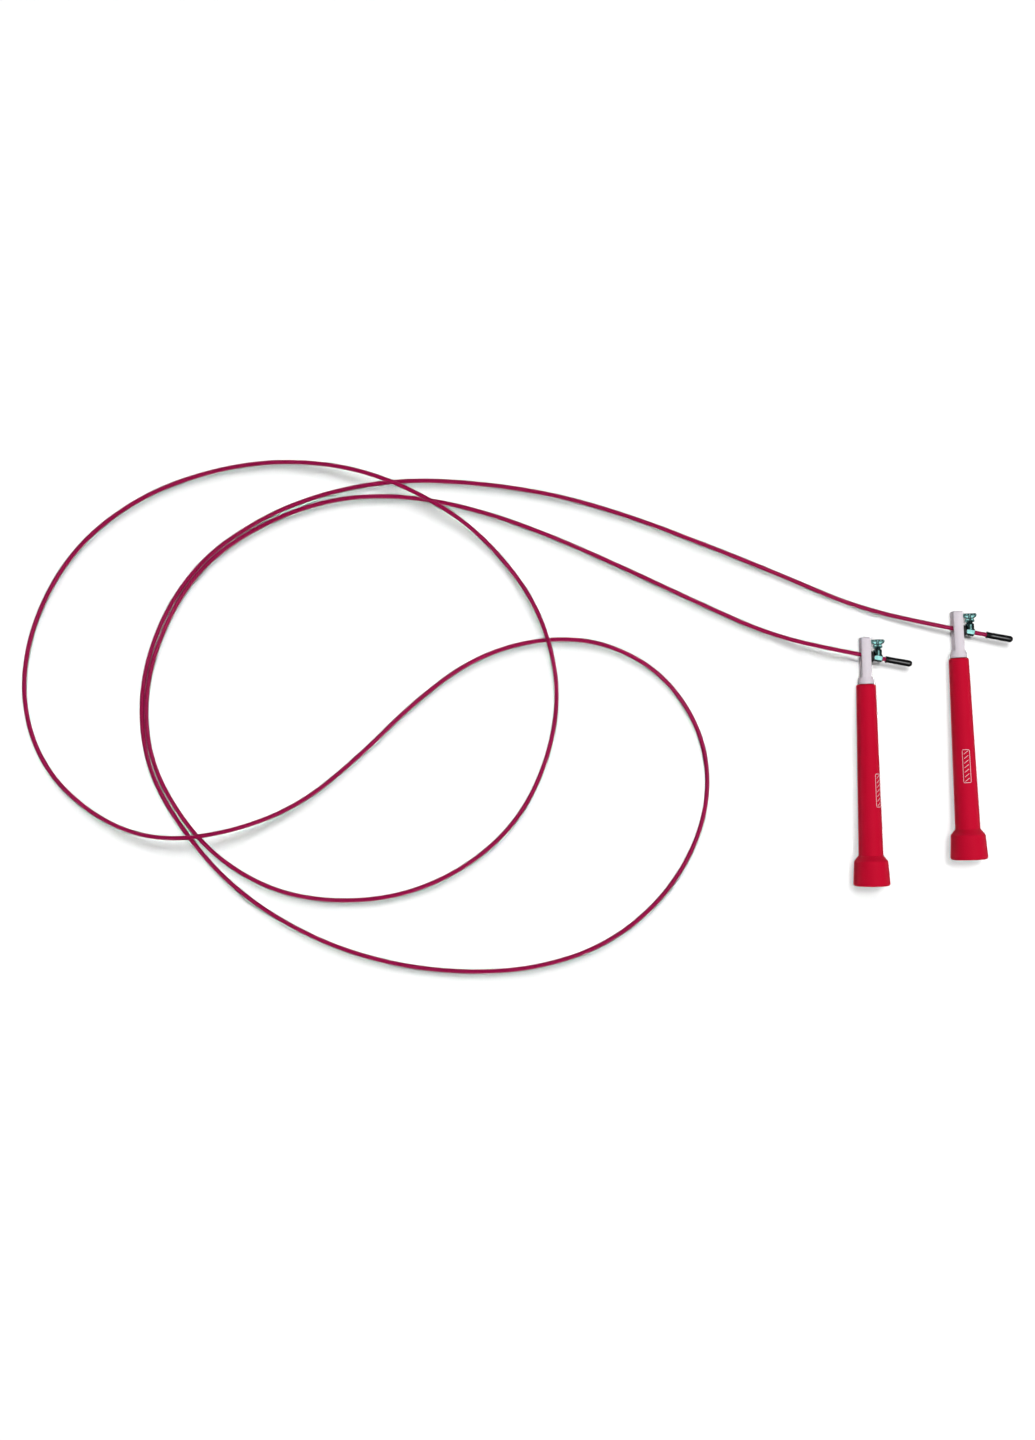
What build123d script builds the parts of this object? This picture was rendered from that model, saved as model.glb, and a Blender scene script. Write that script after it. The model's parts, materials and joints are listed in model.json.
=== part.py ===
from build123d import *
import os
from math import acos, atan2, cos, degrees, hypot, pi, radians, sin, tan

# Speed rope: two bell-ended grips spin on swivel heads, and one coated steel cable runs through a
# cross hole in each head to a clamp, a short tail and an end cap.
# Millimetres. The rope lies on the plane z = 0, +Y runs from the bells to the heads, and the origin
# is on that plane, midway between the two handles.

# ---- clearances and fits ----
running_gap = 0.05      # radial, between a shaft and the bore that it turns or slides in
seat_gap = 0.02         # radial, between two pieces that are pushed together and stay there
face_gap = 0.3          # along an axis, between faces that turn past each other
rest_gap = 0.1          # between pieces that lie side by side
side_play = 0.15        # radial, between the cable and a loose washer

TOUCH = 1e-3            # edges this close to a place are at that place

# ---- cable ----
cable_diameter = 2.8
core_height = cable_diameter / 2        # the cable's middle when it lies on the floor
crossing_height = 2 * cable_diameter + 3 - core_height   # its middle where it passes over itself
hole_height = 5.6       # the cable's middle in a head's cross hole

# The route runs from the end in the right cap to the end in the left cap: corners of the cable's
# path, (x, y, z). Each corner is rounded as widely as its two runs allow.
F = core_height
H = hole_height
U = crossing_height
route = [
    (61.5, 72.3, H), (11.3, 81.4, H), (-40.5, 94, F), (-90.5, 115.5, F), (-140.5, 135.5, F),
    (-190.5, 154.5, F), (-242, 169.5, F), (-293.5, 177, F), (-344, 179, F), (-392, 171, F),
    (-436, 154, F), (-478.5, 124.5, F), (-505.5, 82.5, F), (-518, 35.5, F), (-513, -14, F),
    (-487, -58.5, F), (-451.5, -97, F), (-405.5, -125.5, F), (-356, -143, F), (-304, -150, F),
    (-251.5, -147, F), (-202, -129.5, F), (-161.5, -93, F), (-138.5, -44, F), (-140, 5.5, F),
    (-166, 48, F), (-206.5, 71, F), (-250.5, 73.5, F), (-294.5, 60.5, F), (-334.5, 31, F),
    (-370, -4.5, F), (-410.5, -38, F), (-456, -56, U), (-505.5, -62, U), (-548, -46.5, F),
    (-583, -12.5, F), (-597, 34, F), (-589.5, 84, F), (-562.5, 132.5, F), (-521, 166, F),
    (-472, 185, F), (-420.5, 192.5, F), (-365.5, 185, U), (-313.5, 160.5, U), (-280, 132.5, F),
    (-251.5, 93.5, U), (-237.5, 43.5, U), (-244, -4.5, F), (-264.5, -48, F), (-299, -79.5, F),
    (-342.5, -99, F), (-392, -103, F), (-437.5, -92.5, F), (-479.5, -62.5, F), (-510, -13.5, F),
    (-515, 35, F), (-502.5, 80.5, F), (-476.5, 122.5, F), (-434, 151, F), (-387.5, 167, F),
    (-339.5, 168.5, F), (-290.5, 158.5, F), (-242, 141, F), (-193.5, 119.5, F), (-144.5, 96.5, F),
    (-97.5, 75.5, F), (-49.8, 64, H), (-5.3, 56.1, H),
]
bend_to_hole = 15.0     # from the last corner of the route to the middle of the cross hole
arc_share = 0.45        # the part of a corner's shorter run that its arc takes up

# ---- grip: a tapered tube that flares into a bell ----
grip_length = 133.0
mouth_diameter = 12.8
waist_diameter = 16.0
bell_top_diameter = 21.9
bell_diameter = 24.1
bell_length = 16.2
shoulder_length = 3.8
mouth_round = 1.4
bell_top_round = 1.6
bell_rim_round = 1.5
hollow_diameter = 8.6   # the bore behind the bushing
handle_lean = {"right": 2.3, "left": 1.1}   # degrees, how far a bell lies to +X of its head

# ---- end plug in the bell ----
plug_diameter = 17.0
plug_flange_diameter = 18.6
plug_flange_thickness = 1.6
plug_depth = 9.0
plug_wall = 1.5

# ---- bushing, pressed in the grip's mouth ----
bushing_diameter = 9.4
bushing_length = 12.0

# ---- swivel head ----
head_diameter = 10.0
flat_width = 6.3        # across the two flats
hole_to_top = 12.0
hole_to_mouth = 19.1
ledge_to_mouth = 4.8    # the flats end on a ledge, this far above the grip's mouth
collar_top_diameter = 9.5
collar_diameter = 11.0
top_round = 1.6
flat_edge_round = 0.5
cable_lean = 15.0       # degrees, how far the cable may lean in the cross hole
hole_chamfer = 0.4
stem_diameter = 6.0

# ---- axle screw and thrust washer, at the stem's inner end ----
screw_diameter = 3.0
screw_length = 10.0
screw_head_diameter = 5.5
screw_head_height = 2.0
screw_recess_width = 1.9
screw_recess_depth = 1.0
screw_head_round = 0.7
thrust_washer_diameter = 8.0
thrust_washer_thickness = 0.8

# ---- cable washer, beside the head ----
cable_washer_diameter = 7.4
cable_washer_thickness = 1.8
cable_washer_chamfer = 0.2

# ---- clamp: a sleeve on the cable with a boss for the wing screw ----
sleeve_diameter = 5.0
sleeve_length = 5.6
sleeve_chamfer = 0.4
boss_diameter = 5.6
boss_height = 5.8       # from the cable's middle to the boss's top
boss_chamfer = 0.7

# ---- wing screw ----
thread_diameter = 3.0
hub_diameter = 3.8
wing_span = 9.4
wing_thickness = 1.8
wing_height = 6.2       # from the foot of the hub to the top of the wings
wing_tip_height = 2.0   # the straight outer edge of a wing
wing_round = 1.0
hub_chamfer = 0.6
ear_span = 7.0          # the narrower foot below the wings
ear_start = 0.5         # both above the foot of the hub
ear_end = 2.1
waist_span = 5.6
waist_start = 2.6

# ---- end cap ----
cap_diameter = 4.2
cap_length = 18.0
cap_tip_wall = 1.5
cap_bead_diameter = 4.6
cap_bead_length = 1.2
cap_tip_round = 1.7

# ---- places that follow from the sizes above, measured from the cross hole ----
mouth_station = -hole_to_mouth
bell_station = mouth_station - grip_length
bushing_end_station = mouth_station - bushing_length
stem_end_station = bushing_end_station - face_gap
stem_bore_diameter = screw_diameter + 2 * seat_gap
leaning_width = cable_diameter / cos(radians(cable_lean)) + flat_width * tan(radians(cable_lean))
cross_hole_diameter = leaning_width + 2 * running_gap


def turned(outline):
    """Revolve a closed outline of (radius, height) points about the Z axis."""
    face = make_face(Plane.XZ * Polyline(*outline, close=True))
    return revolve(face, Axis.Z)


def circles(part, diameter, height):
    """The circular edges of that diameter at that height on the Z axis."""
    return [
        edge
        for edge in part.edges().filter_by(GeomType.CIRCLE)
        if abs(edge.arc_center.Z - height) < TOUCH and abs(2 * edge.radius - diameter) < TOUCH
    ]


def make_grip():
    """The grip, hollow from the bell to the bushing, its mouth at the top."""
    shoulder_station = bell_station + bell_length
    grip = turned([
        (0, bell_station),
        (bell_diameter / 2, bell_station),
        (bell_top_diameter / 2, shoulder_station),
        (waist_diameter / 2, shoulder_station + shoulder_length),
        (mouth_diameter / 2, mouth_station),
        (0, mouth_station),
    ])
    grip = fillet(circles(grip, mouth_diameter, mouth_station), mouth_round)
    grip = fillet(circles(grip, bell_top_diameter, shoulder_station), bell_top_round)
    grip = fillet(circles(grip, bell_diameter, bell_station), bell_rim_round)
    grip -= turned([
        (0, bell_station),
        (plug_flange_diameter / 2 + seat_gap, bell_station),
        (plug_flange_diameter / 2 + seat_gap, bell_station + plug_flange_thickness),
        (plug_diameter / 2 + seat_gap, bell_station + plug_flange_thickness),
        (plug_diameter / 2 + seat_gap, bell_station + plug_depth + face_gap),
        (hollow_diameter / 2, bell_station + plug_depth + face_gap + hollow_diameter / 2),
        (hollow_diameter / 2, bushing_end_station),
        (bushing_diameter / 2 + seat_gap, bushing_end_station),
        (bushing_diameter / 2 + seat_gap, mouth_station),
        (0, mouth_station),
    ])
    return grip


def make_end_plug():
    """A flanged cup that closes the bell, flush with its rim."""
    flange_top = bell_station + plug_flange_thickness
    return turned([
        (0, bell_station),
        (plug_flange_diameter / 2, bell_station),
        (plug_flange_diameter / 2, flange_top),
        (plug_diameter / 2, flange_top),
        (plug_diameter / 2, bell_station + plug_depth),
        (plug_diameter / 2 - plug_wall, bell_station + plug_depth),
        (plug_diameter / 2 - plug_wall, flange_top),
        (0, flange_top),
    ])


def make_bushing():
    """A plain sleeve that the head's stem turns in."""
    bore_radius = stem_diameter / 2 + running_gap
    return turned([
        (bore_radius, bushing_end_station),
        (bushing_diameter / 2, bushing_end_station),
        (bushing_diameter / 2, mouth_station),
        (bore_radius, mouth_station),
    ])


def make_head():
    """The swivel head: a bar with two flats, a collar and a stem, cross-drilled for the cable."""
    ledge_station = mouth_station + ledge_to_mouth
    collar_station = mouth_station + face_gap
    head = turned([
        (0, stem_end_station),
        (stem_diameter / 2, stem_end_station),
        (stem_diameter / 2, collar_station),
        (collar_diameter / 2, collar_station),
        (collar_top_diameter / 2, ledge_station),
        (head_diameter / 2, ledge_station),
        (head_diameter / 2, hole_to_top),
        (0, hole_to_top),
    ])
    head = fillet(circles(head, head_diameter, hole_to_top), top_round)
    flat_height = hole_to_top - ledge_station
    middle = ledge_station + flat_height / 2
    for way in (-1, 1):
        cut = Box(head_diameter, head_diameter * 2, flat_height)
        head -= Pos(way * (flat_width + head_diameter) / 2, 0, middle) * cut
    long_edges = [
        edge
        for edge in head.edges().filter_by(Axis.Z)
        if abs(abs(edge.center().X) - flat_width / 2) < TOUCH
    ]
    head = fillet(long_edges, flat_edge_round)
    across = Rot(0, 90, 0)
    head -= across * Cylinder(cross_hole_diameter / 2, flat_width * 2)
    funnel = Cone(cross_hole_diameter / 2, cross_hole_diameter / 2 + hole_chamfer, hole_chamfer)
    for way in (-1, 1):
        mouth = Rot(0, way * 90, 0) * Pos(0, 0, (flat_width - hole_chamfer) / 2) * funnel
        head -= mouth
    tapped_length = screw_length - thrust_washer_thickness + face_gap
    tapped = Cylinder(stem_bore_diameter / 2, tapped_length)
    return head - Pos(0, 0, stem_end_station + tapped_length / 2) * tapped


def make_thrust_washer():
    """The washer under the axle screw's head, which keeps the stem in the bushing."""
    bottom = stem_end_station - thrust_washer_thickness
    return turned([
        (screw_diameter / 2 + running_gap, bottom),
        (thrust_washer_diameter / 2, bottom),
        (thrust_washer_diameter / 2, stem_end_station),
        (screw_diameter / 2 + running_gap, stem_end_station),
    ])


def make_axle_screw():
    """The screw in the stem's end, with a square recess in its pan head."""
    seat = stem_end_station - thrust_washer_thickness
    foot = seat - screw_head_height
    screw = turned([
        (0, foot),
        (screw_head_diameter / 2, foot),
        (screw_head_diameter / 2, seat),
        (screw_diameter / 2, seat),
        (screw_diameter / 2, seat + screw_length),
        (0, seat + screw_length),
    ])
    screw = fillet(circles(screw, screw_head_diameter, foot), screw_head_round)
    recess = Box(screw_recess_width, screw_recess_width, screw_recess_depth)
    return screw - Pos(0, 0, foot + screw_recess_depth / 2) * recess


def make_cable_washer(skew):
    """The washer between head and clamp: its axis is Z, and the cable passes at the skew angle."""
    slant = cable_washer_thickness * tan(radians(skew)) / 2
    bore_radius = cable_diameter / 2 / cos(radians(skew)) + slant + side_play
    washer = Cylinder(cable_washer_diameter / 2, cable_washer_thickness)
    washer = chamfer(washer.edges().filter_by(GeomType.CIRCLE), cable_washer_chamfer)
    return washer - Cylinder(bore_radius, cable_washer_thickness)


def make_clamp_body(skew):
    """The clamp: its sleeve lies along X, and its boss leans from +Y by the skew angle."""
    sleeve = Cylinder(sleeve_diameter / 2, sleeve_length)
    sleeve = Rot(0, 90, 0) * chamfer(sleeve.edges().filter_by(GeomType.CIRCLE), sleeve_chamfer)
    boss = Cylinder(boss_diameter / 2, boss_height, align=(Align.CENTER, Align.CENTER, Align.MIN))
    boss = chamfer(boss.edges().group_by(Axis.Z)[-1], boss_chamfer)
    upright = Rot(0, 0, skew) * Rot(-90, 0, 0)
    body = sleeve + upright * boss
    body -= Rot(0, 90, 0) * Cylinder(cable_diameter / 2 + running_gap, sleeve_length * 3)
    tapped = Cylinder(
        thread_diameter / 2 + running_gap, boss_height, align=(Align.CENTER, Align.CENTER, Align.MIN)
    )
    return body - upright * tapped


def make_wing_screw(skew):
    """The wing screw along Z, its tip against the cable and its wings spread along X."""
    tip_slant = thread_diameter / 2 * tan(radians(skew))
    tip = (cable_diameter / 2 + running_gap) / cos(radians(skew)) + tip_slant
    foot = boss_height + face_gap
    top = foot + wing_height
    screw = Pos(0, 0, (tip + foot) / 2) * Cylinder(thread_diameter / 2, foot - tip)
    hub = Cylinder(hub_diameter / 2, wing_height)
    hub = chamfer(hub.edges().group_by(Axis.Z)[-1], hub_chamfer)
    tip_base = top - wing_tip_height - wing_round
    half = [
        (0, foot),
        (hub_diameter / 2, foot),
        (ear_span / 2, foot + ear_start),
        (ear_span / 2, foot + ear_end),
        (waist_span / 2, foot + waist_start),
        (wing_span / 2, tip_base),
        (wing_span / 2, top - wing_round),
        (wing_span / 2 - wing_round, top),
        (0, top),
    ]
    outline = half + [(-x, z) for x, z in reversed(half[1:-1])]
    face = make_face(Plane.XZ * Polyline(*outline, close=True))
    wings = extrude(face, wing_thickness / 2, both=True)
    return screw + Pos(0, 0, (foot + top) / 2) * hub + wings


def make_end_cap():
    """The soft cap along Z, its open mouth at zero and its domed tip at the top."""
    cap = turned([
        (0, 0),
        (cap_bead_diameter / 2, 0),
        (cap_bead_diameter / 2, cap_bead_length),
        (cap_diameter / 2, cap_bead_length + cap_bead_diameter - cap_diameter),
        (cap_diameter / 2, cap_length),
        (0, cap_length),
    ])
    cap = fillet(circles(cap, cap_diameter, cap_length), cap_tip_round)
    bore_length = cap_length - cap_tip_wall
    return cap - Pos(0, 0, bore_length / 2) * Cylinder(cable_diameter / 2 + seat_gap, bore_length)


def make_cable():
    """The cable: straight runs joined by the widest arcs that they allow."""
    corners = [Vector(*point) for point in route]
    radii = []
    for before, corner, after in zip(corners, corners[1:], corners[2:]):
        turn = (corner - before).get_angle(after - corner)
        shorter = min((corner - before).length, (after - corner).length)
        radii.append(arc_share * shorter / tan(radians(turn / 2)))
    print("cable: smallest arc", round(min(radii)), "largest", round(max(radii)))
    path = FilletPolyline(*corners, radius=radii)
    section = Plane(origin=corners[0], z_dir=corners[1] - corners[0]) * Circle(cable_diameter / 2)
    cable = sweep(section, path)
    expected = pi * cable_diameter**2 / 4 * path.length
    print("cable: length", round(path.length), "volume", round(cable.volume), "of", round(expected))
    return cable


def handle_tilt():
    """How far the handle's axis drops towards its head, in degrees, with the bell on the floor."""
    reach = hypot(bell_diameter / 2, bell_station)
    slope = atan2(-bell_station, bell_diameter / 2)
    return degrees(acos(hole_height / reach) - slope)


def make_side(side, end, bend):
    """Every piece of one handle and of its end of the cable, each in its place."""
    along = (end - bend).normalized()
    hole = bend + along * bend_to_hole
    lean = radians(handle_lean[side])
    tilt = radians(handle_tilt())
    towards_top = Vector(-sin(lean) * cos(tilt), cos(lean) * cos(tilt), -sin(tilt))
    across = Vector(cos(lean), sin(lean), 0)
    handle = Plane(origin=hole, x_dir=across, z_dir=towards_top).location

    skew = along.get_angle(across)
    slant = cos(radians(skew))
    washer_at = (flat_width / 2 + rest_gap + cable_washer_thickness / 2) / slant
    washer = Plane(origin=hole + along * washer_at, z_dir=across).location
    sleeve_edge = sleeve_diameter / 2 * sin(radians(skew))
    washer_face = flat_width / 2 + rest_gap + cable_washer_thickness
    sleeve_start = (washer_face + rest_gap + sleeve_edge) / slant
    clamp_middle = hole + along * (sleeve_start + sleeve_length / 2)
    clamp = Plane(origin=clamp_middle, x_dir=along, z_dir=(0, 0, 1)).location
    boss_way = Vector(-sin(lean), cos(lean), 0)
    wing = Plane(origin=clamp_middle, x_dir=across, z_dir=boss_way).location
    cap_mouth = end - along * (cap_length - cap_tip_wall)
    cap = Plane(origin=cap_mouth, z_dir=along).location

    print(side, "hole", hole, "along", along, "axis", towards_top, "across", across)
    print(side, "clamp", clamp_middle, "wing axis", boss_way, "skew", round(skew, 2))
    print(side, "free tail", round((cap_mouth - clamp_middle).length - sleeve_length / 2, 2))
    butt = hole + towards_top * bell_station
    print(side, "butt", butt)
    return {
        f"{side}_grip": handle * make_grip(),
        f"{side}_end_plug": handle * make_end_plug(),
        f"{side}_bushing": handle * make_bushing(),
        f"{side}_head": handle * make_head(),
        f"{side}_thrust_washer": handle * make_thrust_washer(),
        f"{side}_axle_screw": handle * make_axle_screw(),
        f"{side}_cable_washer": washer * make_cable_washer(skew),
        f"{side}_clamp_body": clamp * make_clamp_body(skew),
        f"{side}_wing_screw": wing * make_wing_screw(skew),
        f"{side}_end_cap": cap * make_end_cap(),
    }


ends = [Vector(*point) for point in route]
parts = {"cable": make_cable()}
parts.update(make_side("right", ends[0], ends[1]))
parts.update(make_side("left", ends[-1], ends[-2]))

os.makedirs("parts", exist_ok=True)
for name, part in parts.items():
    part.label = name
    export_step(part, f"parts/{name}.step")
print("pieces:", len(parts))
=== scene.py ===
# %% [markdown]
# # A speed rope
# Two red plastic grips with white swivel heads, and one thin coated steel cable that lies in loose coils.
# The hard parts come from a CAD model and are already in their places. Blender gives them their finishes, and
# adds what CAD draws too plainly: the smooth line of the cable, the cast wing screws, the dipped end caps and
# the printed marks. Every size below is in metres unless its name says mm.

# %% Load the hard parts
import bmesh
import bpy
import json
import math
from mathutils import Matrix, Vector


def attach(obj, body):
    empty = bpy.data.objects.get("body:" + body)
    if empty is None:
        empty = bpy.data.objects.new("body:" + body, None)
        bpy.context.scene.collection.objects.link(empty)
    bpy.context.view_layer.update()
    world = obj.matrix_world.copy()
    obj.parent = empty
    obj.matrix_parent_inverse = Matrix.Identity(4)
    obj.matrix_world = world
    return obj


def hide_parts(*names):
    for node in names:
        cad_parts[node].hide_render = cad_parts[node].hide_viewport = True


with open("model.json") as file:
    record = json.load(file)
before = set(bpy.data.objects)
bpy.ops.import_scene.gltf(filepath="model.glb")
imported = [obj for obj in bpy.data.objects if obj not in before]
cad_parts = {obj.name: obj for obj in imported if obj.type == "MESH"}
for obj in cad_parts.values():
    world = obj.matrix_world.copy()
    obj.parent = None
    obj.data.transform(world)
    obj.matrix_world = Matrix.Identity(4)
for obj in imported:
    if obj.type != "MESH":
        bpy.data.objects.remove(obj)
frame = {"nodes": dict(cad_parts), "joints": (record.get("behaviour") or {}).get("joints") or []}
nodes = frame["nodes"]
joints = {joint["name"]: joint for joint in frame["joints"]}
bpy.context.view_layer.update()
MM = 0.001

# %% [markdown]
# ## Camera
# A flat lay is taken from straight above. A camera with no turn already looks down with +Y at the top of the
# picture, so only its place and its lens matter. It stands close enough for the handles, at one side of the
# picture, to show a little of their inner sides.

# %% Camera
VIEW_CENTRE = (-0.2657, 0.0187)
VIEW_HEIGHT = 0.9347
bpy.ops.object.camera_add(location=(*VIEW_CENTRE, VIEW_HEIGHT), rotation=(0, 0, 0))
camera = bpy.context.object
camera.name = "camera"
camera.data.sensor_fit = "VERTICAL"
camera.data.sensor_height = 36
camera.data.lens = 35
bpy.context.scene.camera = camera
print("camera height", VIEW_HEIGHT)

# %% [markdown]
# ## The cable's line
# A coated steel cable is springy: it lies in wide, even bends and never in corners. A NURBS spline of order 3
# behaves like that, because it rounds each control point from the middle of one run to the middle of the next.
# The points are the cable's route in millimetres. Where the cable passes over itself there are two raised
# points, one each side of the crossing, so it makes a long low hump and just clears the strand below.

# %% The route
F = 1.4     # the cable's middle on the floor
H = 5.6     # its middle in the heads
U = 4.5     # its middle where it passes over itself
route_mm = [
    (61.5, 72.3, H), (11.3, 81.4, H), (-40.5, 94, F), (-90.5, 115.5, F), (-140.5, 135.5, F),
    (-190.5, 154.5, F), (-242, 169.5, F), (-293.5, 177, F), (-344, 179, F), (-392, 171, F),
    (-436, 154, F), (-478.5, 124.5, F), (-505.5, 82.5, F), (-518, 35.5, F), (-513, -14, F),
    (-487, -58.5, F), (-451.5, -97, F), (-405.5, -125.5, F), (-356, -143, F), (-304, -150, F),
    (-251.5, -147, F), (-202, -129.5, F), (-161.5, -93, F), (-138.5, -44, F), (-140, 5.5, F),
    (-166, 48, F), (-206.5, 71, F), (-250.5, 73.5, F), (-294.5, 60.5, F), (-334.5, 31, F),
    (-370, -4.5, F), (-410.5, -38, F), (-456, -56, U), (-505.5, -62, U), (-548, -46.5, F),
    (-583, -12.5, F), (-597, 34, F), (-589.5, 84, F), (-562.5, 132.5, F), (-521, 166, F),
    (-472, 185, F), (-420.5, 192.5, F), (-365.5, 185, U), (-313.5, 160.5, U), (-280, 132.5, F),
    (-251.5, 93.5, U), (-237.5, 43.5, U), (-244, -4.5, F), (-264.5, -48, F), (-299, -79.5, F),
    (-342.5, -99, F), (-392, -103, F), (-437.5, -92.5, F), (-479.5, -62.5, F), (-510, -13.5, F),
    (-515, 35, F), (-502.5, 80.5, F), (-476.5, 122.5, F), (-434, 151, F), (-387.5, 167, F),
    (-339.5, 168.5, F), (-290.5, 158.5, F), (-242, 141, F), (-193.5, 119.5, F), (-144.5, 96.5, F),
    (-97.5, 75.5, F), (-49.8, 64, H), (-5.3, 56.1, H),
]

line = bpy.data.curves.new("cable_line", "CURVE")
line.dimensions = "3D"
line.resolution_u = 16
spline = line.splines.new("NURBS")
spline.points.add(len(route_mm) - 1)
for point, place in zip(spline.points, route_mm):
    point.co = (*(Vector(place) * MM), 1)
spline.order_u = 3
spline.use_endpoint_u = True

line_object = bpy.data.objects.new("cable_line", line)
bpy.context.scene.collection.objects.link(line_object)
bpy.context.view_layer.update()
walked = bpy.data.meshes.new_from_object(line_object.evaluated_get(bpy.context.evaluated_depsgraph_get()))
path = [vertex.co.copy() for vertex in walked.vertices]
bpy.data.objects.remove(line_object)
bpy.data.meshes.remove(walked)
path_length = sum((b - a).length for a, b in zip(path, path[1:]))
print("cable length", round(path_length, 3), "m,", len(path), "points")

# %% [markdown]
# ## The jacket
# The jacket is a tube round that line. A curve's bevel would make one too, but a mesh lets the texture map be
# laid out in real millimetres: U runs along the cable and V once round it, so that the twist of the wires under
# the jacket keeps its true pitch from end to end.

# %% The jacket's mesh
CABLE_RADIUS = 1.4 * MM
SIDES = 20


def tube_along(name, points, radius, sides):
    """A closed tube round the points, with U in metres along it and V from 0 to 1 round it."""
    tangents = [(b - a).normalized() for a, b in zip(points, points[1:])]
    tangents = [tangents[0]] + [(a + b).normalized() for a, b in zip(tangents, tangents[1:])] + [tangents[-1]]
    side = tangents[0].orthogonal().normalized()
    vertices, stations, walked_length = [], [], 0.0
    for index, (point, tangent) in enumerate(zip(points, tangents)):
        side = (side - tangent * side.dot(tangent)).normalized()
        up = tangent.cross(side)
        if index:
            walked_length += (point - points[index - 1]).length
        stations.append(walked_length)
        for step in range(sides):
            angle = 2 * math.pi * step / sides
            vertices.append(point + (side * math.cos(angle) + up * math.sin(angle)) * radius)
    faces, uvs = [], []
    for ring in range(len(points) - 1):
        for step in range(sides):
            after = (step + 1) % sides
            faces.append((ring * sides + step, ring * sides + after, (ring + 1) * sides + after, (ring + 1) * sides + step))
            low, high = step / sides, (step + 1) / sides
            uvs += [(stations[ring], low), (stations[ring], high), (stations[ring + 1], high), (stations[ring + 1], low)]
    faces.append(tuple(reversed(range(sides))))
    faces.append(tuple(range((len(points) - 1) * sides, len(points) * sides)))
    uvs += [(0, 0)] * sides + [(stations[-1], 0)] * sides
    mesh = bpy.data.meshes.new(name)
    mesh.from_pydata(vertices, [], faces)
    layer = mesh.uv_layers.new(name="UVMap")
    for loop, uv in zip(layer.data, uvs):
        loop.uv = uv
    for face in mesh.polygons:
        face.use_smooth = len(face.vertices) == 4
    made = bpy.data.objects.new(name, mesh)
    bpy.context.scene.collection.objects.link(made)
    return made


jacket = tube_along("cable_jacket", path, CABLE_RADIUS, SIDES)
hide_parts("cable")
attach(jacket, "rope")
print("jacket faces", len(jacket.data.polygons))

# %% [markdown]
# ## Helpers for finishes
# Colours are given as sRGB hex values, as on a paint card, and Blender's shaders want linear ones, so one
# function converts them. Another adds a node, sets its options and fills or links its inputs in one line.

# %% Helpers for finishes
def colour(code):
    """A hex colour as the linear values that a shader takes."""
    parts = [int(code[i:i + 2], 16) / 255 for i in (1, 3, 5)]
    linear = [p / 12.92 if p <= 0.04045 else ((p + 0.055) / 1.055) ** 2.4 for p in parts]
    return (*linear, 1.0)


def add_node(tree, kind, inputs=None, **settings):
    """Add one node, set its options, and give each named input a value or a link."""
    node = tree.nodes.new(kind)
    for key, value in settings.items():
        setattr(node, key, value)
    for key, value in (inputs or {}).items():
        if isinstance(value, bpy.types.NodeSocket):
            tree.links.new(value, node.inputs[key])
        else:
            node.inputs[key].default_value = value
    return node


def start_material(name):
    """A new material: its node tree and its Principled shader."""
    material = bpy.data.materials.new(name)
    material.use_nodes = True
    tree = material.node_tree
    return material, tree, tree.nodes["Principled BSDF"]


def finish(piece, material):
    """Give a piece one material all over."""
    piece.data.materials.clear()
    piece.data.materials.append(material)


# %% [markdown]
# ## PVC jacket over twisted steel wires
# The jacket is extruded from clear, crimson-tinted PVC. Light goes through it and comes back from the wires,
# so the cable looks deep and wine-coloured rather than painted, with thin slanting lines where the strands
# lie beside each other. Real strands of this cable are about 0.4 mm wide and would be too fine to show, so
# they are drawn about 0.9 mm wide. The surface itself is smooth and glossy, as it came from the die. Here the
# jacket is opaque, and the glints of the wires under it are painted: a slow noise along the cable makes its
# colour lighter and darker in patches.

# %% Jacket material
jacket_material, tree, shader = start_material("tinted PVC, extruded over twisted steel")
LAY_MM = 11.0          # one turn of the twisted wires
STRANDS = 6
where = add_node(tree, "ShaderNodeUVMap", uv_map="UVMap")
split = add_node(tree, "ShaderNodeSeparateXYZ", {"Vector": where.outputs["UV"]})
turns = add_node(tree, "ShaderNodeMath", {0: split.outputs["X"], 1: 1 / (LAY_MM * MM)}, operation="MULTIPLY")
twist = add_node(tree, "ShaderNodeMath", {0: split.outputs["Y"], 1: turns.outputs[0]}, operation="ADD")
phase = add_node(tree, "ShaderNodeMath", {0: twist.outputs[0], 1: 2 * math.pi * STRANDS}, operation="MULTIPLY")
strand = add_node(tree, "ShaderNodeMath", {0: phase.outputs[0]}, operation="COSINE")
level = add_node(
    tree, "ShaderNodeMapRange", {"Value": strand.outputs[0], "From Min": -1.0, "From Max": 0.2}
)
object_place = add_node(tree, "ShaderNodeTexCoord")
# Painted glints: a slow noise along the cable, about 18 mm across, for the light coming back from the wires.
painted_glint_noise = add_node(
    tree, "ShaderNodeTexNoise",
    {"Vector": object_place.outputs["Object"], "Scale": 1 / (18 * MM), "Detail": 3.0, "Roughness": 0.6},
)
# The painted glints: lighter crimson where that noise is high, darker crimson where it is low.
tint_with_painted_glints = add_node(
    tree, "ShaderNodeMix",
    {"Factor": painted_glint_noise.outputs["Fac"], 6: colour("#980B44"), 7: colour("#C01258")},
    data_type="RGBA",
)
wires = add_node(
    tree, "ShaderNodeMix",
    {"Factor": level.outputs["Result"], 6: colour("#6E0730"), 7: tint_with_painted_glints.outputs[2]},
    data_type="RGBA",
)
tree.links.new(wires.outputs[2], shader.inputs["Base Color"])
shader.inputs["Roughness"].default_value = 0.28
shader.inputs["IOR"].default_value = 1.53
shader.inputs["Specular IOR Level"].default_value = 0.15
shader.inputs["Coat Weight"].default_value = 0.08
shader.inputs["Coat Roughness"].default_value = 0.1
finish(jacket, jacket_material)
print("jacket: lay", LAY_MM, "mm,", STRANDS, "strands")

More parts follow.
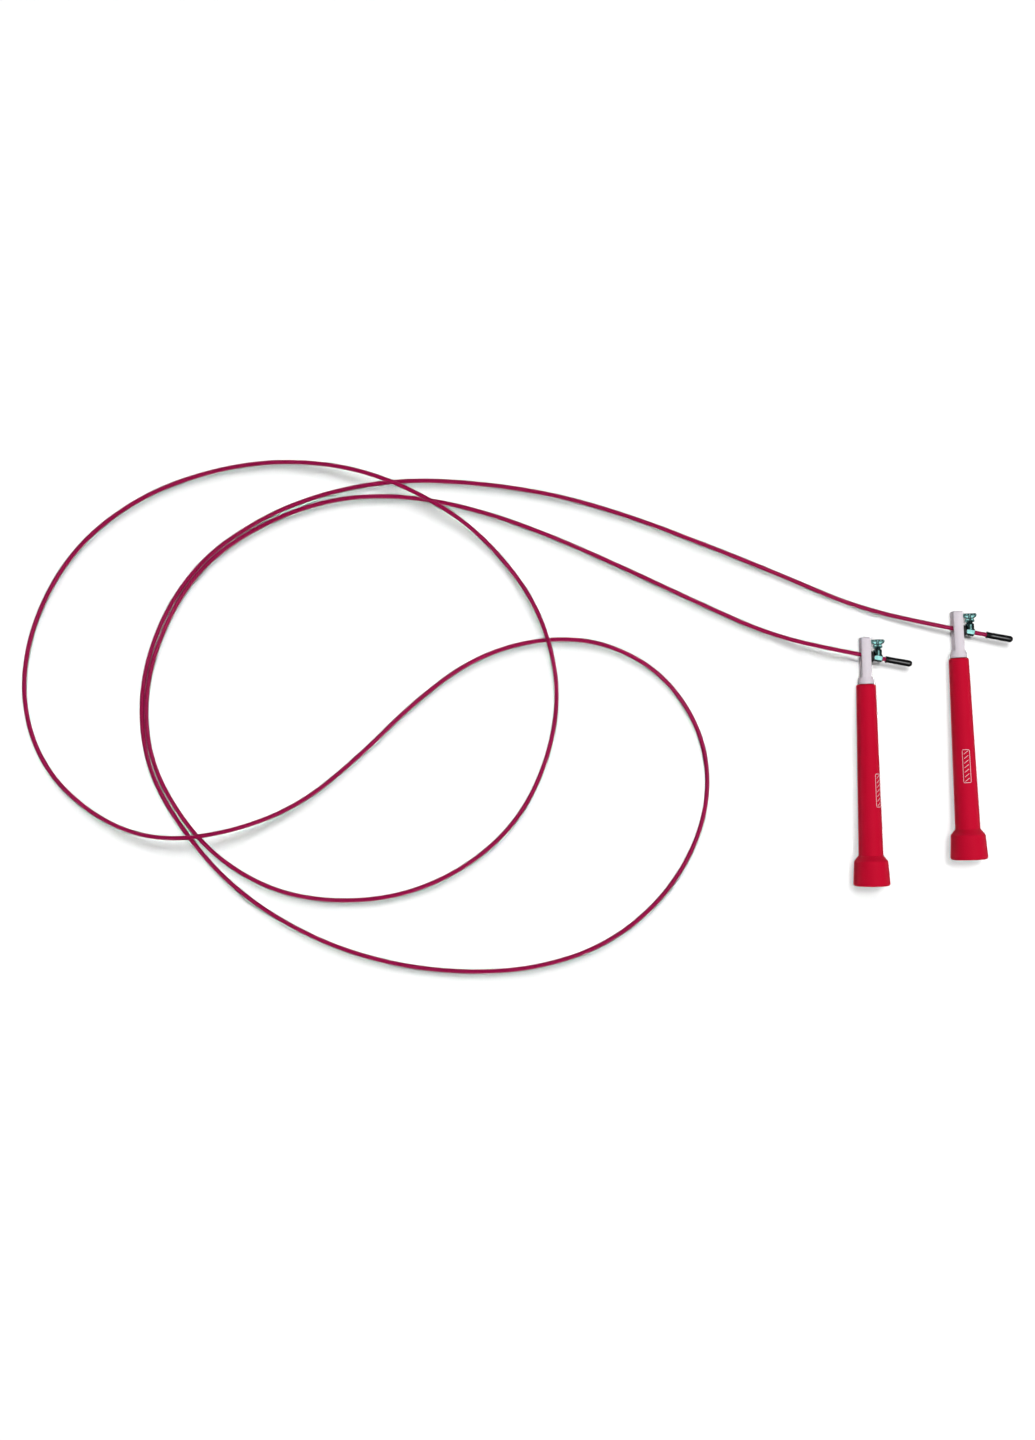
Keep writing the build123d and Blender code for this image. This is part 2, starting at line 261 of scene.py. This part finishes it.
# %% [markdown]
# ## Grip plastic
# The grips are injection moulded from polypropylene in a spark-eroded mould, which leaves a fine, even,
# slightly rough skin. It shows as a broad soft sheen with no sharp reflection. Two layers make it: a fine
# grain of about 0.25 mm in the bump, and a slow drift of the colour over a few centimetres, as the melt cooled.

# %% Grip material
grip_material, tree, shader = start_material("red polypropylene, moulded satin")
where = add_node(tree, "ShaderNodeTexCoord")
drift = add_node(
    tree, "ShaderNodeTexNoise",
    {"Vector": where.outputs["Object"], "Scale": 1 / (30 * MM), "Detail": 2.0, "Roughness": 0.5},
)
red = add_node(
    tree, "ShaderNodeMix",
    {"Factor": drift.outputs["Fac"], 6: colour("#C40B2C"), 7: colour("#CE0F34")},
    data_type="RGBA",
)
grain = add_node(
    tree, "ShaderNodeTexNoise",
    {"Vector": where.outputs["Object"], "Scale": 1 / (0.25 * MM), "Detail": 2.0, "Roughness": 0.6},
)
skin = add_node(
    tree, "ShaderNodeBump",
    {"Height": grain.outputs["Fac"], "Strength": 0.25, "Distance": 0.03 * MM},
)
sheen = add_node(
    tree, "ShaderNodeMapRange",
    {"Value": drift.outputs["Fac"], "To Min": 0.52, "To Max": 0.6},
)
tree.links.new(red.outputs[2], shader.inputs["Base Color"])
tree.links.new(sheen.outputs["Result"], shader.inputs["Roughness"])
tree.links.new(skin.outputs["Normal"], shader.inputs["Normal"])
shader.inputs["IOR"].default_value = 1.49
shader.inputs["Specular IOR Level"].default_value = 0.08
for side in ("right", "left"):
    finish(nodes[f"{side}_grip"], grip_material)
    finish(nodes[f"{side}_end_plug"], grip_material)
print("grips finished")

# %% [markdown]
# ## Head and bushing plastic
# The heads are acetal, a dense, waxy, white engineering plastic that slides well on steel. Turned and milled
# acetal is smooth, a little cool in colour, and lets a little light into its skin. The bushing is the same
# plastic in its natural, creamier colour.

# %% Head and bushing materials
acetal, tree, shader = start_material("white acetal, turned and milled")
where = add_node(tree, "ShaderNodeTexCoord")
tool_marks = add_node(
    tree, "ShaderNodeTexNoise",
    {"Vector": where.outputs["Object"], "Scale": 1 / (0.5 * MM), "Detail": 3.0, "Roughness": 0.55},
)
cloud = add_node(
    tree, "ShaderNodeTexNoise",
    {"Vector": where.outputs["Object"], "Scale": 1 / (9 * MM), "Detail": 2.0},
)
white = add_node(
    tree, "ShaderNodeMix",
    {"Factor": cloud.outputs["Fac"], 6: colour("#E2D8E0"), 7: colour("#ECE2EA")},
    data_type="RGBA",
)
skin = add_node(
    tree, "ShaderNodeBump",
    {"Height": tool_marks.outputs["Fac"], "Strength": 0.12, "Distance": 0.03 * MM},
)
tree.links.new(white.outputs[2], shader.inputs["Base Color"])
tree.links.new(skin.outputs["Normal"], shader.inputs["Normal"])
shader.inputs["Roughness"].default_value = 0.36
shader.inputs["IOR"].default_value = 1.48
shader.inputs["Subsurface Weight"].default_value = 0.1
shader.inputs["Subsurface Radius"].default_value = (0.6, 0.5, 0.45)
shader.inputs["Subsurface Scale"].default_value = 1.0 * MM

natural_acetal = acetal.copy()
natural_acetal.name = "natural acetal, moulded"
for node in natural_acetal.node_tree.nodes:
    if node.bl_idname == "ShaderNodeMix":
        node.inputs[6].default_value = colour("#D6D1C4")
        node.inputs[7].default_value = colour("#E2DDD1")
for side in ("right", "left"):
    finish(nodes[f"{side}_head"], acetal)
    finish(nodes[f"{side}_bushing"], natural_acetal)
print("heads and bushings finished")

# %% [markdown]
# ## Zinc-plated steel
# The clamp, the wing screw, the axle screw and its washer are bright zinc plated and passivated, which leaves
# a mirror-like skin with a cool blue-green cast. Cast parts are never quite flat under the plate, so a low,
# slow bump of about 1 mm makes their reflections wander. Slight cloudiness in the roughness keeps it from
# looking like chrome.

# %% Zinc plate material
zinc, tree, shader = start_material("zinc-plated steel, blue passivated")
where = add_node(tree, "ShaderNodeTexCoord")
cloud = add_node(
    tree, "ShaderNodeTexNoise",
    {"Vector": where.outputs["Object"], "Scale": 1 / (1.6 * MM), "Detail": 3.0, "Roughness": 0.5},
)
tint = add_node(
    tree, "ShaderNodeMix",
    {"Factor": cloud.outputs["Fac"], 6: colour("#3F5E5D"), 7: colour("#5F8280")},
    data_type="RGBA",
)
mist = add_node(
    tree, "ShaderNodeMapRange",
    {"Value": cloud.outputs["Fac"], "To Min": 0.1, "To Max": 0.2},
)
wander = add_node(
    tree, "ShaderNodeTexNoise",
    {"Vector": where.outputs["Object"], "Scale": 1 / (1.0 * MM), "Detail": 1.0},
)
skin = add_node(
    tree, "ShaderNodeBump",
    {"Height": wander.outputs["Fac"], "Strength": 0.4, "Distance": 0.05 * MM},
)
tree.links.new(tint.outputs[2], shader.inputs["Base Color"])
tree.links.new(mist.outputs["Result"], shader.inputs["Roughness"])
tree.links.new(skin.outputs["Normal"], shader.inputs["Normal"])
shader.inputs["Metallic"].default_value = 1.0
for side in ("right", "left"):
    for part in ("axle_screw", "thrust_washer"):
        finish(nodes[f"{side}_{part}"], zinc)
print("plated parts finished")

# %% [markdown]
# ## Black rubber and vinyl
# The washer between the head and the clamp is cut from rubber sheet and is quite matt. The end caps are made by
# dipping a hot pin in liquid vinyl, which flows before it sets, so they are smooth and half glossy.

# %% Rubber and vinyl materials
rubber, tree, shader = start_material("black rubber, die cut")
where = add_node(tree, "ShaderNodeTexCoord")
bloom = add_node(
    tree, "ShaderNodeTexNoise",
    {"Vector": where.outputs["Object"], "Scale": 1 / (0.4 * MM), "Detail": 3.0},
)
black = add_node(
    tree, "ShaderNodeMix",
    {"Factor": bloom.outputs["Fac"], 6: colour("#08080A"), 7: colour("#17171A")},
    data_type="RGBA",
)
skin = add_node(
    tree, "ShaderNodeBump",
    {"Height": bloom.outputs["Fac"], "Strength": 0.3, "Distance": 0.04 * MM},
)
tree.links.new(black.outputs[2], shader.inputs["Base Color"])
tree.links.new(skin.outputs["Normal"], shader.inputs["Normal"])
shader.inputs["Roughness"].default_value = 0.7
for side in ("right", "left"):
    finish(nodes[f"{side}_cable_washer"], rubber)

vinyl = rubber.copy()
vinyl.name = "black vinyl, dip moulded"
for node in vinyl.node_tree.nodes:
    if node.bl_idname == "ShaderNodeBump":
        node.inputs["Strength"].default_value = 0.08
    if node.bl_idname == "ShaderNodeMix":
        node.inputs[6].default_value = colour("#030304")
        node.inputs[7].default_value = colour("#08080A")
    if node.bl_idname == "ShaderNodeBsdfPrincipled":
        node.inputs["Roughness"].default_value = 0.14
        node.inputs["IOR"].default_value = 1.53
print("washers finished")

# %% [markdown]
# ## Working in millimetres
# The small parts are easier to model at a size of several units, so they are built upright at the origin with
# one unit for one millimetre, and then set in place and scaled down. Applying the transform leaves the object
# itself at the origin with its place in its mesh.

# %% Helpers for small parts
def start_mesh_edit():
    """Deselect every object, so that the next primitive is the only thing selected."""
    bpy.ops.object.select_all(action="DESELECT")


def pick_faces(piece, wanted):
    """In edit mode, select the faces that pass the test and report how many there are."""
    shape = bmesh.from_edit_mesh(piece.data)
    for face in shape.faces:
        face.select_set(False)
    chosen = [face for face in shape.faces if wanted(face)]
    for face in chosen:
        face.select_set(True)
    bmesh.update_edit_mesh(piece.data)
    return len(chosen)


def apply_modifier(piece, kind, **settings):
    """Add one modifier, set it and apply it."""
    modifier = piece.modifiers.new(kind.title(), kind)
    for key, value in settings.items():
        setattr(modifier, key, value)
    bpy.context.view_layer.objects.active = piece
    bpy.ops.object.modifier_apply(modifier=modifier.name)


def turn_profile(name, profile, steps=48):
    """Spin a chain of (radius, height) points into a closed body round Z."""
    start_mesh_edit()
    bpy.ops.mesh.primitive_plane_add(size=1, location=(0, 0, 0))
    piece = bpy.context.object
    piece.name = name
    bpy.ops.object.mode_set(mode="EDIT")
    bpy.ops.mesh.merge(type="CENTER")
    bpy.ops.transform.translate(value=(profile[0][0], 0, profile[0][1]))
    for (r0, z0), (r1, z1) in zip(profile, profile[1:]):
        bpy.ops.mesh.extrude_region_move(TRANSFORM_OT_translate={"value": (r1 - r0, 0, z1 - z0)})
    bpy.ops.mesh.select_all(action="SELECT")
    bpy.ops.mesh.spin(steps=steps, angle=2 * math.pi, center=(0, 0, 0), axis=(0, 0, 1))
    bpy.ops.mesh.select_all(action="SELECT")
    bpy.ops.mesh.remove_doubles(threshold=0.001)
    bpy.ops.mesh.normals_make_consistent(inside=False)
    bpy.ops.object.mode_set(mode="OBJECT")
    return piece


def set_in_place(piece, origin, x_axis, z_axis):
    """Scale a piece built in millimetres, turn its X and Z to those directions and move it there."""
    z_axis = Vector(z_axis).normalized()
    x_axis = (Vector(x_axis) - z_axis * Vector(x_axis).dot(z_axis)).normalized()
    y_axis = z_axis.cross(x_axis)
    turn = Matrix((x_axis, y_axis, z_axis)).transposed().to_4x4()
    piece.matrix_world = Matrix.Translation(Vector(origin)) @ turn @ Matrix.Scale(MM, 4)
    bpy.ops.object.select_all(action="DESELECT")
    piece.select_set(True)
    bpy.context.view_layer.objects.active = piece
    bpy.ops.object.transform_apply(location=True, rotation=True, scale=True)


# %% [markdown]
# ## The wing screws
# A wing screw of this size is die cast: two thick-rimmed wings with sunk panels, a pair of short ears below
# them, and a round hub that runs down the middle into the threaded shank. One block grows upwards by extrusion,
# each step scaled to the width of the casting there. The sunk panels are insets pushed inwards. A voxel
# remesh then melts wings, hub and shank into one skin, and a little smoothing gives the rounded edges of a
# casting, which no single bevel would give on so many meeting faces.

# %% The wing block
SCREW_FOOT = 6.1       # the hub's foot, from the cable's middle, in mm
SCREW_TIP = 1.8
WING_THICKNESS = 1.8
FOOT_WIDTH = 3.8
RIM = 0.5
stations = [   # height over the foot, width
    (0.35, 5.4), (0.7, 6.3), (1.7, 6.3), (2.4, 4.8), (4.1, 9.0), (5.1, 9.4), (5.9, 8.7), (6.2, 7.4),
]


def make_wing_block():
    """The two wings and their ears: panels are sunk in one quarter, and two mirrors make the rest."""
    start_mesh_edit()
    first = 0.15
    place = (0, 0, SCREW_FOOT + first / 2)
    bpy.ops.mesh.primitive_cube_add(size=1, location=place, scale=(FOOT_WIDTH, WING_THICKNESS, first))
    block = bpy.context.object
    bpy.ops.object.transform_apply(location=True, rotation=False, scale=True)
    bpy.ops.object.mode_set(mode="EDIT")
    height, width = first, FOOT_WIDTH
    for next_height, next_width in stations:
        pick_faces(block, lambda face: face.normal.z > 0.9 and face.calc_center_median().z > SCREW_FOOT + height - 0.01)
        bpy.ops.mesh.extrude_region_move(TRANSFORM_OT_translate={"value": (0, 0, next_height - height)})
        bpy.ops.transform.resize(value=(next_width / width, 1, 1), center_override=(0, 0, SCREW_FOOT + next_height))
        height, width = next_height, next_width
    bpy.ops.mesh.select_all(action="SELECT")
    bpy.ops.mesh.bisect(plane_co=(0, 0, 0), plane_no=(1, 0, 0))

    def panel(face, low, high):
        centre = face.calc_center_median()
        return face.normal.y > 0.9 and SCREW_FOOT + low < centre.z < SCREW_FOOT + high and centre.x > 0

    pick_faces(block, lambda face: panel(face, 2.4, 6.2))
    bpy.ops.mesh.inset(thickness=RIM, depth=0.0)
    bpy.ops.transform.resize(value=(0.94, 1, 0.84), center_override=(RIM, 0, SCREW_FOOT + 2.4 + RIM))
    bpy.ops.mesh.inset(thickness=0.04, depth=-0.5)
    pick_faces(block, lambda face: panel(face, 0.7, 1.7))
    bpy.ops.mesh.inset(thickness=0.15, depth=0.0)
    bpy.ops.transform.resize(value=(0.6, 1, 1), center_override=(1.4, 0, SCREW_FOOT + 1.2))
    bpy.ops.mesh.inset(thickness=0.04, depth=-0.45)
    shape = bmesh.from_edit_mesh(block.data)
    for edge in shape.edges:
        walls = [face for face in edge.link_faces if abs(face.normal.y) < 0.1]
        fronts = [face for face in edge.link_faces if face.normal.y > 0.9]
        outer = edge.verts[0].co.y > WING_THICKNESS / 2 - 0.01 and edge.verts[1].co.y > WING_THICKNESS / 2 - 0.01
        edge.select_set(bool(walls and fronts and outer))
    bmesh.update_edit_mesh(block.data)
    bpy.ops.mesh.bevel(offset=0.38, segments=3, clamp_overlap=True)
    bpy.ops.object.mode_set(mode="OBJECT")
    apply_modifier(block, "MIRROR", use_axis=(True, True, False), use_bisect_axis=(True, True, False))
    return block


def make_wing_screw(name):
    """The whole casting: block, hub, shank, then one remeshed skin."""
    block = make_wing_block()
    hub = turn_profile("hub", [
        (0, SCREW_TIP), (1.2, SCREW_TIP), (1.5, SCREW_TIP + 0.3), (1.5, SCREW_FOOT - 0.05), (1.9, SCREW_FOOT),
        (1.9, SCREW_FOOT + 0.3), (1.15, SCREW_FOOT + 0.8), (1.0, SCREW_FOOT + 2.6), (0.6, SCREW_FOOT + 3.1),
        (0, SCREW_FOOT + 3.1),
    ])
    start_mesh_edit()
    hub.select_set(True)
    block.select_set(True)
    bpy.context.view_layer.objects.active = block
    bpy.ops.object.join()
    block.name = name
    apply_modifier(block, "REMESH", mode="VOXEL", voxel_size=0.11, use_smooth_shade=True)
    apply_modifier(block, "SMOOTH", factor=0.5, iterations=34)
    return block


wing_screws = {}
for side in ("right", "left"):
    joint = joints[f"{side}_wing_turn"]
    screw = make_wing_screw(f"{side}_wing_casting")
    across = Vector(joints[f"{side}_head_swivel"]["axis"])
    set_in_place(screw, joint["pos_m"], across, joint["axis"])
    finish(screw, zinc)
    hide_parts(f"{side}_wing_screw")
    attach(screw, f"{side}_wing")
    wing_screws[side] = screw
    print(side, "wing screw faces", len(screw.data.polygons))

# %% [markdown]
# ## The clamps
# A clamp is a turned sleeve on the cable with a round boss for the wing screw. The sleeve is milled flat above
# and below, so its top flashes like a mirror while its round flanks stay dark. The flats go on before the boss,
# which stands proud of them. The two holes are cut with booleans, and the same remesh as on the screws softens
# every edge under the zinc.

# %% Clamps
SLEEVE_RADIUS = 2.5
SLEEVE_LENGTH = 5.6
SLEEVE_CHAMFER = 0.4
FLAT_HEIGHT = 2.05     # from the cable's middle to a flat
BOSS_RADIUS = 2.8
BOSS_FOOT = 1.6        # from the cable's middle
BOSS_TOP = 5.8
BOSS_CHAMFER = 0.7
CABLE_HOLE = 1.48
SCREW_HOLE = 1.6


def lean_to(piece, direction):
    """Turn a piece built along Z so that it points in the given direction."""
    piece.matrix_world = Vector(direction).to_track_quat("Z", "Y").to_matrix().to_4x4()
    bpy.ops.object.select_all(action="DESELECT")
    piece.select_set(True)
    bpy.context.view_layer.objects.active = piece
    bpy.ops.object.transform_apply(location=True, rotation=True, scale=True)
    return piece


def cut_or_unite(piece, tool, operation):
    """Apply one boolean and throw its tool away."""
    apply_modifier(piece, "BOOLEAN", object=tool, operation=operation, solver="EXACT")
    bpy.data.objects.remove(tool)


def make_clamp(name, boss_way):
    """The sleeve along X with its flats, its boss along boss_way, and the two holes."""
    end = SLEEVE_LENGTH / 2
    sleeve = turn_profile(name, [
        (0, -end), (SLEEVE_RADIUS - SLEEVE_CHAMFER, -end), (SLEEVE_RADIUS, SLEEVE_CHAMFER - end),
        (SLEEVE_RADIUS, end - SLEEVE_CHAMFER), (SLEEVE_RADIUS - SLEEVE_CHAMFER, end), (0, end),
    ])
    clamp = lean_to(sleeve, (1, 0, 0))
    for way in (-1, 1):
        start_mesh_edit()
        bpy.ops.mesh.primitive_cube_add(
            size=1, location=(0, 0, way * (FLAT_HEIGHT + SLEEVE_RADIUS / 2)),
            scale=(2 * SLEEVE_LENGTH, 3 * SLEEVE_RADIUS, SLEEVE_RADIUS),
        )
        cut_or_unite(clamp, bpy.context.object, "DIFFERENCE")
    boss = turn_profile("boss", [
        (0, BOSS_FOOT), (BOSS_RADIUS, BOSS_FOOT), (BOSS_RADIUS, BOSS_TOP - BOSS_CHAMFER),
        (BOSS_RADIUS - BOSS_CHAMFER, BOSS_TOP), (0, BOSS_TOP),
    ])
    cut_or_unite(clamp, lean_to(boss, boss_way), "UNION")
    cable_hole = turn_profile("hole", [(0, -4), (CABLE_HOLE, -4), (CABLE_HOLE, 4), (0, 4)])
    cut_or_unite(clamp, lean_to(cable_hole, (1, 0, 0)), "DIFFERENCE")
    screw_hole = turn_profile("hole", [(0, 0), (SCREW_HOLE, 0), (SCREW_HOLE, 8), (0, 8)])
    cut_or_unite(clamp, lean_to(screw_hole, boss_way), "DIFFERENCE")
    apply_modifier(clamp, "REMESH", mode="VOXEL", voxel_size=0.11, use_smooth_shade=True)
    apply_modifier(clamp, "SMOOTH", factor=0.5, iterations=4)
    return clamp


clamps = {}
for side in ("right", "left"):
    along = Vector(joints[f"{side}_clamp_slide"]["axis"])
    sideways = Vector((0, 0, 1)).cross(along)
    boss_axis = Vector(joints[f"{side}_wing_turn"]["axis"])
    clamp = make_clamp(f"{side}_clamp_casting", (boss_axis.dot(along), boss_axis.dot(sideways), 0))
    set_in_place(clamp, joints[f"{side}_wing_turn"]["pos_m"], along, (0, 0, 1))
    finish(clamp, zinc)
    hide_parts(f"{side}_clamp_body")
    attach(clamp, f"{side}_clamp")
    clamps[side] = clamp
    print(side, "clamp faces", len(clamp.data.polygons))

# %% [markdown]
# ## The end caps
# A dipped cap has a soft, rolled lip at its mouth, where the vinyl ran back, a wall that thickens a little
# towards the tip, and a round nose. A profile spun round the cable's line gives all three.

# %% End caps
CAP_LENGTH = 18.0
CAP_RADIUS = 2.1
cap_profile = [(1.42, 16.5), (1.42, 0.25), (1.62, 0.03), (1.9, 0.0), (2.16, 0.16), (2.24, 0.5), (2.16, 0.9), (2.04, 1.3)]
cap_profile += [(2.04, 4.0), (2.08, 8.0), (CAP_RADIUS, 13.0), (CAP_RADIUS, CAP_LENGTH - 2.1)]
for step in range(1, 9):
    angle = math.radians(90 * step / 8)
    cap_profile.append((CAP_RADIUS * math.cos(angle), CAP_LENGTH - 2.1 + 2.1 * math.sin(angle)))

caps = {}
for side, end, before in (("right", path[0], path[1]), ("left", path[-1], path[-2])):
    outwards = (end - before).normalized()
    cap = turn_profile(f"{side}_dipped_cap", [(0, 16.5)] + cap_profile, steps=40)
    bpy.ops.object.select_all(action="DESELECT")
    cap.select_set(True)
    bpy.ops.object.shade_smooth_by_angle(angle=math.radians(50))
    set_in_place(cap, end - outwards * (CAP_LENGTH - 1.5) * MM, (0, 0, 1), outwards)
    finish(cap, vinyl)
    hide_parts(f"{side}_end_cap")
    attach(cap, "rope")
    caps[side] = cap
    print(side, "cap faces", len(cap.data.polygons))

# %% [markdown]
# ## The printed marks
# Each grip carries a small white print that runs along it. Here it is a plain one: an outlined bar with slanted
# strokes inside, and no letters. It is drawn flat beside the grip, wrapped onto the grip's surface, and given
# the thickness of a coat of ink. The two grips spin freely, so their prints point different ways.

# %% The ink
ink, tree, shader = start_material("white screen-printing ink, rubbed")
where = add_node(tree, "ShaderNodeTexCoord")
rub = add_node(
    tree, "ShaderNodeTexNoise",
    {"Vector": where.outputs["Object"], "Scale": 1 / (0.7 * MM), "Detail": 4.0, "Roughness": 0.7},
)
worn = add_node(tree, "ShaderNodeMapRange", {"Value": rub.outputs["Fac"], "From Min": 0.5, "From Max": 0.75})
white = add_node(
    tree, "ShaderNodeMix",
    {"Factor": worn.outputs["Result"], 6: colour("#F0D3DA"), 7: colour("#D05A72")},
    data_type="RGBA",
)
tree.links.new(white.outputs[2], shader.inputs["Base Color"])
shader.inputs["Roughness"].default_value = 0.5

# %% The marks
MARK_LENGTH = 22.0
MARK_WIDTH = 6.4
LINE_WIDTH = 0.36
MARK_STAND = 9.0       # the flat drawing's distance from the handle's axis
STROKES = 7
mark_turn = {"right": -7.0, "left": 40.0}      # degrees round the grip, from its top towards +X
mark_middle = {"right": -90.7, "left": -89.4}  # mm along the grip from the cross hole


def make_mark(name, station):
    """The outlined bar and its strokes, flat and beside the handle."""
    start_mesh_edit()
    upright = (math.pi / 2, 0, 0)
    bpy.ops.mesh.primitive_plane_add(size=1, location=(0, -MARK_STAND, station), rotation=upright)
    mark = bpy.context.object
    mark.name = name
    mark.scale = (MARK_WIDTH, MARK_LENGTH, 1)
    bpy.ops.object.transform_apply(location=True, rotation=True, scale=True)
    bpy.ops.object.mode_set(mode="EDIT")
    bpy.ops.mesh.select_all(action="SELECT")
    bpy.ops.mesh.bevel(affect="VERTICES", offset=1.2, segments=4)
    bpy.ops.mesh.inset(thickness=LINE_WIDTH)
    bpy.ops.mesh.delete(type="ONLY_FACE")
    pitch = (MARK_LENGTH - 4.0) / (STROKES - 1)
    for stroke in range(STROKES):
        height = station + (stroke - (STROKES - 1) / 2) * pitch
        bpy.ops.mesh.select_all(action="DESELECT")
        bpy.ops.mesh.primitive_plane_add(size=1, location=(0, -MARK_STAND, height), rotation=upright)
        bpy.ops.transform.resize(value=(MARK_WIDTH - 2.4, 1, LINE_WIDTH), center_override=(0, -MARK_STAND, height))
        bpy.ops.transform.rotate(value=math.radians(32), orient_axis="Y", center_override=(0, -MARK_STAND, height))
    bpy.ops.mesh.select_all(action="SELECT")
    bpy.ops.mesh.subdivide(number_cuts=5)
    bpy.ops.object.mode_set(mode="OBJECT")
    return mark


for side in ("right", "left"):
    spin = joints[f"{side}_grip_spin"]
    axis = Vector(spin["axis"])
    across = Vector(joints[f"{side}_head_swivel"]["axis"])
    mark = make_mark(f"{side}_printed_mark", mark_middle[side])
    turned = Matrix.Rotation(math.radians(mark_turn[side]), 3, axis) @ across
    set_in_place(mark, spin["pos_m"], turned, axis)
    apply_modifier(
        mark, "SHRINKWRAP", target=nodes[f"{side}_grip"], wrap_method="NEAREST_SURFACEPOINT",
        wrap_mode="ABOVE_SURFACE", offset=0.03 * MM,
    )
    apply_modifier(mark, "SOLIDIFY", thickness=0.05 * MM, offset=1.0)
    finish(mark, ink)
    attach(mark, f"{side}_handle")
    low_corner, high_corner = Vector(mark.bound_box[0]), Vector(mark.bound_box[6])
    print(side, "mark faces", len(mark.data.polygons), "size mm", [round(v / MM, 1) for v in high_corner - low_corner])

# %% The pieces on the cable
on_cable = [*caps.values(), *wing_screws.values(), *clamps.values()]
on_cable += [nodes[f"{side}_cable_washer"] for side in ("right", "left")]
print("cable declared with", len(on_cable), "pieces")

# %% [markdown]
# ## Floor and light
# A flat lay stands on white and is lit from above. The floor is a pale sheet. A broad lamp overhead gives the
# grips their soft band of light, and the sky is bright only near the top, so the sides of round parts turn
# dark and their outlines read against the white. One more lamp, low behind the handles, lights only the floor,
# and gives the thin cable the soft grey shadow that makes it lie down.

# %% Floor
floor_material, tree, shader = start_material("matt paper under its own lamps")
shader.inputs["Base Color"].default_value = (0.13, 0.13, 0.13, 1)
shader.inputs["Roughness"].default_value = 1.0
shader.inputs["Specular IOR Level"].default_value = 0.0
FLOOR_REACH = 4.0
strip_edges = [-FLOOR_REACH, -0.1, -0.075, -0.05, -0.025, FLOOR_REACH]
floors = []
for left, right in zip(strip_edges, strip_edges[1:]):
    start_mesh_edit()
    bpy.ops.mesh.primitive_plane_add(size=1, location=((left + right) / 2, VIEW_CENTRE[1], 0))
    sheet = bpy.context.object
    sheet.name = f"floor_{len(floors)}"
    sheet.scale = (right - left, 2 * FLOOR_REACH, 1)
    sheet.visible_glossy = False
    finish(sheet, floor_material)
    floors.append(sheet)

# %% Lamps for the object
bpy.ops.object.light_add(type="AREA", location=(VIEW_CENTRE[0] + 0.62, VIEW_CENTRE[1] - 0.2, 1.9))
key = bpy.context.object
key.name = "overhead_lamp"
key.data.shape = "RECTANGLE"
key.data.size = 1.9
key.data.size_y = 0.75
key.data.energy = 35
key.visible_glossy = False
key.rotation_euler = (Vector((*VIEW_CENTRE, 0)) - key.location).to_track_quat("-Z", "Y").to_euler()

bpy.ops.object.light_add(type="AREA", location=(0.55, -0.12, 1.9))
card = bpy.context.object
card.name = "highlight_card"
card.data.shape = "RECTANGLE"
card.data.size = 0.5
card.data.size_y = 1.25
card.data.energy = 5.5
card.visible_diffuse = False

# %% Lamps for the floor
def group(name, things):
    """A collection that a lamp can be told about."""
    made = bpy.data.collections.new(name)
    for thing in things:
        made.objects.link(thing)
    return made


def floor_lamp(name, elevation, share, softness, sheets, blockers):
    """A distant lamp from +Y that lights only these sheets, up to that share of white, and that only blockers stop."""
    bpy.ops.object.light_add(type="SUN", location=(VIEW_CENTRE[0], 1.0, 0.8))
    lamp = bpy.context.object
    lamp.name = name
    lamp.data.energy = share * math.pi / 0.13 / math.sin(math.radians(elevation))
    lamp.data.angle = math.radians(softness)
    lamp.rotation_euler = (math.radians(elevation - 90), 0, 0)
    lamp.light_linking.receiver_collection = group(name + " sheets", sheets)
    lamp.light_linking.blocker_collection = group(name + " blockers", blockers)
    return lamp


heavy_pieces = [nodes[f"{side}_{part}"] for side in ("right", "left") for part in ("grip", "head")]
for sheet, elevation in zip(floors, (29, 34, 41, 49, 57)):
    floor_lamp(f"low_lamp_of_{sheet.name}", elevation, 0.5, 24, [sheet], [jacket])
floor_lamp("middle_floor_lamp", 58, 0.09, 16, floors, [jacket, *on_cable])
high_pieces = heavy_pieces + [piece for piece in on_cable if piece not in caps.values()]
floor_lamp("high_floor_lamp", 74, 0.37, 12, floors, high_pieces)

# %% A card for the metal
bpy.ops.object.light_add(type="AREA", location=(0.55, -0.12, 1.9))
metal_card = bpy.context.object
metal_card.name = "metal_card"
metal_card.data.shape = "RECTANGLE"
metal_card.data.size = 0.4
metal_card.data.size_y = 0.6
metal_card.data.energy = 26
metal_card.visible_diffuse = False
metal_card.light_linking.receiver_collection = group("metal and vinyl", on_cable)

# %% Sky
world = bpy.data.worlds.new("studio sky")
bpy.context.scene.world = world
world.use_nodes = True
tree = world.node_tree
direction = add_node(tree, "ShaderNodeTexCoord")
height = add_node(tree, "ShaderNodeSeparateXYZ", {"Vector": direction.outputs["Generated"]})
band = add_node(tree, "ShaderNodeValToRGB", {"Fac": height.outputs["Z"]})
band.color_ramp.elements[0].position = 0.0
band.color_ramp.elements[0].color = (0.08, 0.085, 0.085, 1)
band.color_ramp.elements[1].position = 1.0
band.color_ramp.elements[1].color = (0.3, 0.31, 0.31, 1)
middle = band.color_ramp.elements.new(0.6)
middle.color = (0.11, 0.12, 0.12, 1)
rays = add_node(tree, "ShaderNodeLightPath")
shown = add_node(
    tree, "ShaderNodeMix",
    {"Factor": rays.outputs["Is Camera Ray"], 6: band.outputs["Color"], 7: (1, 1, 1, 1)},
    data_type="RGBA",
)
sky = tree.nodes["Background"]
tree.links.new(shown.outputs[2], sky.inputs["Color"])
sky.inputs["Strength"].default_value = 1.0
bpy.context.scene.view_settings.view_transform = "Standard"
